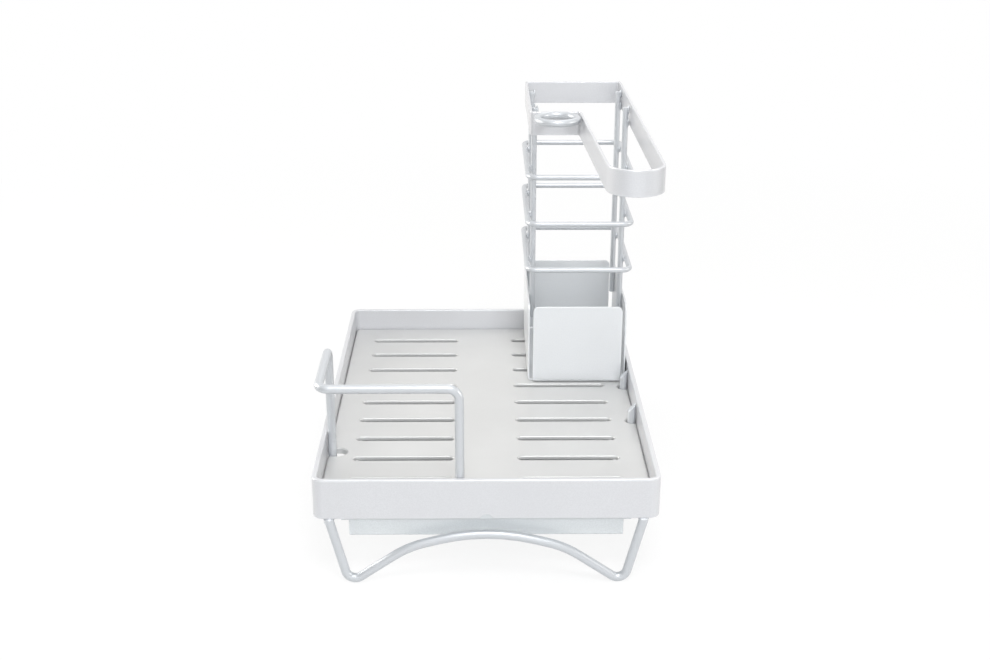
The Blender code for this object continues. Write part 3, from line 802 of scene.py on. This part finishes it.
def make_runner(node, facing):
    """An angle: a web down from the floor and a ledge turned inwards.

    The strip's line in Y and Z runs down the web and round the bend to the ledge's tip.
    """
    low, high = limits(node)
    half = RUNNER_THICKNESS / 2
    back, tip = (low[1], high[1]) if facing > 0 else (high[1], low[1])
    web, ledge = back + facing * half, low[2] + half
    line = [(web, high[2]), (web, ledge), (tip, ledge)]
    line = end_steps(rounded(line, [0, RUNNER_BEND_RADIUS + half, 0], False), [RUNNER_EDGE])
    path = np.column_stack([np.zeros(len(line)), line])
    width = np.full(len(path), (high[0] - low[0]) / 2)
    return folded_strip(node + "_angle", path, (1, 0, 0), width, RUNNER_THICKNESS, RUNNER_EDGE)


def make_runner_stop(node):
    """The tab bent up at the runner's right end, which stops the drip tray: a short upright strip."""
    low, high = limits(node)
    x = high[0] - RUNNER_STOP_INSET - RUNNER_THICKNESS / 2
    shelf = low[2] + RUNNER_THICKNESS
    ends = np.array([(x, 0, low[2] + RUNNER_THICKNESS / 2), (x, 0, shelf + RUNNER_STOP_HEIGHT)])
    path = end_steps(ends, [RUNNER_EDGE])
    path[:, 1] = (high[1] + low[1]) / 2
    width = np.full(len(path), (high[1] - low[1]) / 2 - RUNNER_EDGE)
    return folded_strip(node + "_stop", path, (0, 1, 0), width, RUNNER_THICKNESS, RUNNER_EDGE)


def make_pan():
    """The drip tray's long strip: lip, front wall, floor, rear wall and lip."""
    low, high = limits("drip_tray")
    half = PAN_THICKNESS / 2
    wall = high[1] - PAN_LIP_REACH - half
    top, floor = high[2] - half, low[2] + half
    right = [(wall, floor), (wall, top), (high[1], top)]
    left = [(-y, z) for y, z in right[::-1]]
    floor_bend = PAN_BEND_RADIUS + half
    lip_bend = PAN_LIP_BEND_RADIUS + half
    line = rounded(left + right, [0, lip_bend, floor_bend, floor_bend, lip_bend, 0], False)
    line = end_steps(line, [PAN_EDGE])
    path = np.column_stack([np.zeros(len(line)), line])
    width = high[0] - drawn_in(line[:, 1] - low[2], PAN_BEND_RADIUS + PAN_THICKNESS)
    return folded_strip("drip_tray_pan", path, (1, 0, 0), width, PAN_THICKNESS, PAN_EDGE)


def make_pan_end(name, side):
    """One end wall of the drip tray, bent up from its floor between the long walls."""
    low, high = limits("drip_tray")
    half = PAN_THICKNESS / 2
    outer_bend = PAN_BEND_RADIUS + PAN_THICKNESS
    floor = low[2] + half - TONGUE_DROP
    x = high[0] - half
    line = [(high[0] - 2 * outer_bend, floor), (x, floor), (x, high[2])]
    line = end_steps(rounded(line, [0, PAN_BEND_RADIUS + half, 0], False), [PAN_EDGE])
    path = np.column_stack([side * line[:, 0], np.zeros(len(line)), line[:, 1]])
    rise = np.maximum(path[:, 2] - half - low[2], 0)
    width = high[1] - PAN_LIP_REACH - half - drawn_in(rise, outer_bend)
    return folded_strip(name, path, (0, 1, 0), width, PAN_THICKNESS, PAN_EDGE)


for runner, facing in (("front_runner", 1), ("rear_runner", -1)):
    add(make_runner(runner, facing), PAN_PAINT, "tray", runner)
    add(make_runner_stop(runner), PAN_PAINT, "tray", runner)
add(make_pan(), PAN_PAINT, "drip_tray", "drip_tray")
for name, side in (("drip_tray_left_end", -1), ("drip_tray_right_end", 1)):
    add(make_pan_end(name, side), PAN_PAINT, "drip_tray", "drip_tray")


# Holder box

def make_box_plates():
    """The box's front plate, floor and rear plate, one strip with two bends."""
    low, high = limits("holder_box")
    half = BOX_THICKNESS / 2
    front, rear, floor = low[1] + half, high[1] - half, low[2] + half
    bend = BOX_BEND_RADIUS + half
    line = [(front, high[2]), (front, floor), (rear, floor), (rear, high[2])]
    line = end_steps(rounded(line, [0, bend, bend, 0], False), [BOX_EDGE, BOX_FLAP_RADIUS])
    path = np.column_stack([np.full(len(line), (low[0] + high[0]) / 2), line])
    top_inset = drawn_in(to_nearer_end(path), BOX_FLAP_RADIUS)
    width = (high[0] - low[0]) / 2 - BOX_CORNER_INSET - top_inset
    return folded_strip("holder_box_plates", path, (1, 0, 0), width, BOX_THICKNESS, BOX_EDGE)


def make_box_side(name, side):
    """One side flap of the box, folded up from a short tongue of its floor."""
    low, high = limits("holder_box")
    half = BOX_THICKNESS / 2
    middle_x, middle_y = (low[:2] + high[:2]) / 2
    reach = (high[0] - low[0]) / 2
    floor = low[2] + half - TONGUE_DROP
    bend = BOX_BEND_RADIUS + half
    tongue = reach - BOX_CORNER_INSET - BOX_BEND_RADIUS
    line = [(tongue, floor), (reach - half, floor), (reach - half, high[2])]
    line = end_steps(rounded(line, [0, bend, 0], False), [BOX_EDGE, BOX_FLAP_RADIUS])
    path = np.column_stack([middle_x + side * line[:, 0], np.full(len(line), middle_y), line[:, 1]])
    along = lengths_along(path)
    top_inset = drawn_in(along[-1] - along, BOX_FLAP_RADIUS)
    width = (high[1] - low[1]) / 2 - BOX_CORNER_INSET - top_inset
    return folded_strip(name, path, (0, 1, 0), width, BOX_THICKNESS, BOX_EDGE)


add(make_box_plates(), BOX_PAINT, "tower", "holder_box")
for name, side in (("holder_box_left_side", -1), ("holder_box_right_side", 1)):
    add(make_box_side(name, side), BOX_PAINT, "tower", "holder_box")


# Tower cage

def make_upright(node):
    """A straight round wire down the middle of the node's box."""
    low, high = limits(node)
    x, y = (low[:2] + high[:2]) / 2
    path = np.array([(x, y, low[2]), (x, y, high[2])])
    return wire(node + "_wire", path, (high[0] - low[0]) / 2, False)


def make_loop(node):
    """A level closed wire along the rounded rectangle half a wire inside the node's box."""
    low, high = limits(node)
    radius = (high[2] - low[2]) / 2
    outline = rectangle(low[0] + radius, high[0] - radius, low[1] + radius, high[1] - radius)
    corners = [(x, y, (low[2] + high[2]) / 2) for x, y in outline]
    return wire(node + "_wire", rounded(corners, [LOOP_BEND_RADIUS] * 4, True), radius, True)


UPRIGHTS = ("upright_front_left", "upright_front_right", "upright_rear_left", "upright_rear_right")
LOOPS = ("lower_loop", "middle_loop", "upper_loop")
for upright in UPRIGHTS:
    add(make_upright(upright), WIRE_PAINT, "tower", upright)
for loop in LOOPS:
    add(make_loop(loop), WIRE_PAINT, "tower", loop)


# Top band and brush ring

def make_band():
    """The top band: a flat bar round the tower and out to the towel arm's round nose."""
    low, high = limits("top_band")
    box_low, box_high = limits("holder_box")
    front = box_low[1]
    right = box_high[0] - BOX_THICKNESS + BAND_THICKNESS
    corners = [
        (low[0], high[1]),
        (low[0], front),
        (right - ARM_ROOT_WIDTH, front),
        (high[0] - ARM_NOSE_WIDTH, low[1]),
        (high[0], low[1]),
        (right, high[1]),
    ]
    half = BAND_THICKNESS / 2
    nose = ARM_NOSE_WIDTH / 2 - ARM_NOSE_FLAT - half
    bend = BAND_BEND_RADIUS - half
    radii = [bend, bend, BAND_ELBOW_RADIUS + half, nose, nose, bend]
    return flat_bar("top_band_bar", corners, radii, BAND_THICKNESS, low[2], high[2], BAND_EDGE)


def make_ring():
    """The brush ring: a round wire carried round a level circle."""
    low, high = limits("brush_ring")
    radius = (high[2] - low[2]) / 2
    middle = (low + high) / 2
    turn = np.linspace(0, 2 * math.pi, RING_STEPS, endpoint=False)
    reach = (high[0] - low[0]) / 2 - radius
    path = middle + reach * np.stack([np.cos(turn), np.sin(turn), 0 * turn], axis=1)
    return wire("brush_ring_wire", path, radius, True)


add(make_band(), BAR_PAINT, "tower", "top_band")
add(make_ring(), WIRE_PAINT, "tower", "brush_ring")


# Weld beads

def beads(name, centres, sizes):
    """Lumpy ellipsoids, one for each centre, with a flat cap at both poles.

    A point is the centre plus the sizes times the sphere's point at two angles, swollen by
    the product of two sines whose phases differ from bead to bead.
    """
    centres = np.asarray(centres, float)
    sizes = np.broadcast_to(np.asarray(sizes, float), centres.shape)
    polar = np.linspace(BEAD_POLE, math.pi - BEAD_POLE, BEAD_ROWS)[None, :, None]
    around = np.linspace(0, 2 * math.pi, BEAD_COLUMNS, endpoint=False)[None, None]
    phase = (np.arange(len(centres)) * BEAD_PHASE)[:, None, None]
    swell = 1 + BEAD_SWELL * np.sin(3 * around + phase) * np.sin(2 * polar + 2 * phase)
    x, y, z = np.sin(polar) * np.cos(around), np.sin(polar) * np.sin(around), np.cos(polar)
    sphere = np.stack(np.broadcast_arrays(x, y, z), axis=-1)
    points = (centres[:, None, None] + sizes[:, None, None] * sphere * swell[..., None]).reshape(-1, 3)
    one = np.array(grid_faces(BEAD_ROWS, BEAD_COLUMNS, False))
    first = np.arange(BEAD_COLUMNS)[::-1]
    last = np.arange(BEAD_COLUMNS) + (BEAD_ROWS - 1) * BEAD_COLUMNS
    faces, caps = [], []
    for start in range(0, len(points), BEAD_ROWS * BEAD_COLUMNS):
        faces += (one + start).tolist()
        caps += [(first + start).tolist(), (last + start).tolist()]
    # Every point is marked as edge, so the whole bead takes the paint's lighter edge colour in
    # patches: a painted highlight
    return mesh_piece(name, points, faces + caps, [], np.ones(len(points)))


def leg_welds():
    """A collar round each leg's top, and a drip below it, both no deeper than the wire."""
    centres, sizes = [], []
    for node in ("front_leg", "rear_leg"):
        low, high = limits(node)
        radius = (high[1] - low[1]) / 2
        y = (low[1] + high[1]) / 2
        outwards = math.copysign(radius, y)
        for x in (radius - high[0], high[0] - radius):
            centres.append((x, y, high[2] - LEG_COLLAR_DROP * radius))
            centres.append((x, y + LEG_DRIP_OUT * outwards, high[2] - LEG_DRIP_DROP * radius))
            sizes += [LEG_COLLAR * radius, LEG_DRIP * radius]
    return beads("leg_welds", centres, sizes)


def loop_welds():
    """A bead at every crossing of an upright and a loop, along the wire."""
    centres = []
    for upright in UPRIGHTS:
        low, high = limits(upright)
        x, y = (low[:2] + high[:2]) / 2
        for loop in LOOPS:
            loop_low, loop_high = limits(loop)
            side = 1 if x > (loop_low[0] + loop_high[0]) / 2 else -1
            centres.append((x + side * (high[0] - low[0]) / 2, y, (loop_low[2] + loop_high[2]) / 2))
    return beads("loop_welds", centres, LOOP_BEAD * (high[0] - low[0]) / 2)


def band_welds():
    """Two beads down each upright's top, where it lies on the band."""
    centres = []
    band_low = limits("top_band")[0]
    for upright in UPRIGHTS:
        low, high = limits(upright)
        x, y = (low[:2] + high[:2]) / 2
        side = 1 if "right" in upright else -1
        radius = (high[0] - low[0]) / 2
        for z in (band_low[2] + BAND_BEAD_RISE * radius, high[2] - BAND_BEAD_DROP * radius):
            centres.append((x + side * BAND_BEAD_OUT * radius, y, z))
    return beads("band_welds", centres, BAND_BEAD * radius)


add(leg_welds(), WIRE_PAINT, "tray")
add(loop_welds(), WIRE_PAINT, "tower")
add(band_welds(), WIRE_PAINT, "tower")


# Floor, light and camera

def seen_background(tree, place, near, far):
    """1 for rays that see the white background, 0 for those that only light the object.

    Glossy rays see less and less of it at the object's left and right, as beside a backdrop
    of limited width: 1 less how far X less nine tenths of Y has gone from near to far, with
    X without its sign and Y held between 0 and 1.
    """
    path = tree.nodes.new("ShaderNodeLightPath")
    split = tree.nodes.new("ShaderNodeSeparateXYZ")
    tree.links.new(place, split.inputs[0])
    sideways = tree.nodes.new("ShaderNodeMath")
    sideways.operation = "ABSOLUTE"
    tree.links.new(split.outputs["X"], sideways.inputs[0])
    behind = spread(tree, split.outputs["Y"], 0, 1, 0, BACKDROP_SPREAD)
    beside = math_node(tree, "SUBTRACT", sideways.outputs[0], behind)
    width = spread(tree, beside, near, far, 1, 0)
    gloss = math_node(tree, "MULTIPLY", path.outputs["Is Glossy Ray"], width)
    direct, through = path.outputs["Is Camera Ray"], path.outputs["Is Transmission Ray"]
    return math_node(tree, "MAXIMUM", math_node(tree, "MAXIMUM", direct, through), gloss)


def make_stage():
    """A wide white table whose own light lifts it to white where it is seen.

    Near the object a share of the surface is left to the lamps, so that its shadow shows.
    """
    mesh = bpy.data.meshes.new("studio_floor")
    corners = rectangle(-TABLE_REACH, TABLE_REACH, -TABLE_REACH, TABLE_REACH)
    mesh.from_pydata([(x, y, 0) for x, y in corners], [], [(0, 1, 2, 3)])
    table = bpy.data.objects.new("studio_floor", mesh)
    bpy.context.scene.collection.objects.link(table)
    material = bpy.data.materials.new("studio_white")
    material.use_nodes = True
    tree = material.node_tree
    shader = tree.nodes["Principled BSDF"]
    shader.inputs["Roughness"].default_value = TABLE_ROUGHNESS
    shader.inputs["Specular IOR Level"].default_value = TABLE_SPECULAR
    white = tree.nodes.new("ShaderNodeEmission")
    white.inputs["Strength"].default_value = 1
    place = tree.nodes.new("ShaderNodeTexCoord").outputs["Object"]
    seen = seen_background(tree, place, 0.2, 0.45)
    tree.links.new(mixed(tree, seen, TABLE_LIGHT, TABLE_WHITE), shader.inputs["Base Color"])
    away = tree.nodes.new("ShaderNodeVectorMath")
    away.operation = "LENGTH"
    tree.links.new(place, away.inputs[0])
    share = spread(tree, away.outputs["Value"], 0.3, 1.0, SHADOW_SHARE, 1)
    mix = tree.nodes.new("ShaderNodeMixShader")
    tree.links.new(math_node(tree, "MULTIPLY", seen, share), mix.inputs["Fac"])
    tree.links.new(shader.outputs["BSDF"], mix.inputs[1])
    tree.links.new(white.outputs["Emission"], mix.inputs[2])
    tree.links.new(mix.outputs["Shader"], tree.nodes["Material Output"].inputs["Surface"])
    mesh.materials.append(material)


def make_world():
    """Soft light from all round, and white where the camera or a gloss sees the background."""
    world = bpy.data.worlds.new("studio")
    bpy.context.scene.world = world
    world.use_nodes = True
    tree = world.node_tree
    background = tree.nodes["Background"]
    place = tree.nodes.new("ShaderNodeTexCoord").outputs["Generated"]
    seen = seen_background(tree, place, 0.4, 0.7)
    tree.links.new(mixed(tree, seen, WORLD_LIGHT, WORLD_WHITE), background.inputs["Color"])


def add_lamp(name, place, size, power, colour, glossy=True):
    """A round softbox, size metres across and power watts, aimed at the target."""
    data = bpy.data.lights.new(name, "AREA")
    data.color = colour
    data.shape = "DISK"
    data.size = size
    data.energy = power
    lamp = bpy.data.objects.new(name, data)
    bpy.context.scene.collection.objects.link(lamp)
    lamp.location = place
    lamp.visible_glossy = glossy
    aim = Vector(LAMP_TARGET) - Vector(place)
    lamp.rotation_euler = aim.to_track_quat("-Z", "Y").to_euler()


def make_camera():
    """The photograph's view: a camera in front of the tray, looking slightly down.

    Ahead follows from pitch and yaw, right is ahead crossed with the upright, and up is
    right crossed with ahead. Right and up are then turned about ahead by the roll.
    """
    data = bpy.data.cameras.new("camera")
    data.sensor_width = SENSOR_WIDTH
    data.lens = SENSOR_WIDTH * FOCAL_PIXELS / PICTURE_PIXELS
    camera = bpy.data.objects.new("camera", data)
    bpy.context.scene.collection.objects.link(camera)
    pitch, yaw, roll = map(math.radians, (CAMERA_PITCH, CAMERA_YAW, CAMERA_ROLL))
    level = math.cos(pitch)
    ahead = Vector((math.sin(yaw) * level, math.cos(yaw) * level, -math.sin(pitch)))
    right = ahead.cross(Vector((0, 0, 1))).normalized()
    up = right.cross(ahead)
    turned_right = right * math.cos(roll) + up * math.sin(roll)
    turned_up = up * math.cos(roll) - right * math.sin(roll)
    matrix = Matrix((turned_right, turned_up, -ahead)).transposed().to_4x4()
    matrix.translation = CAMERA_PLACE
    camera.matrix_world = matrix
    bpy.context.scene.camera = camera


make_stage()
make_world()
add_lamp("key_softbox", (0.1, -0.8, 1.3), 0.5, 8.5, (0.97, 0.985, 1))
add_lamp("front_softbox", (0.1, -1.6, 0.8), 0.9, 12.5, (0.93, 0.965, 1), glossy=False)
add_lamp("left_softbox", (-1.6, 0.5, 0.6), 0.9, 16.5, (1, 0.98, 0.94))
add_lamp("right_softbox", (1.6, -0.4, 0.6), 0.9, 8, (1, 0.985, 0.95))
add_lamp("rear_softbox", (0.3, 1.1, 1.5), 0.9, 3, (1, 0.99, 0.97))
make_camera()
bpy.context.scene.view_settings.view_transform = "Standard"

bpy.context.view_layer.update()
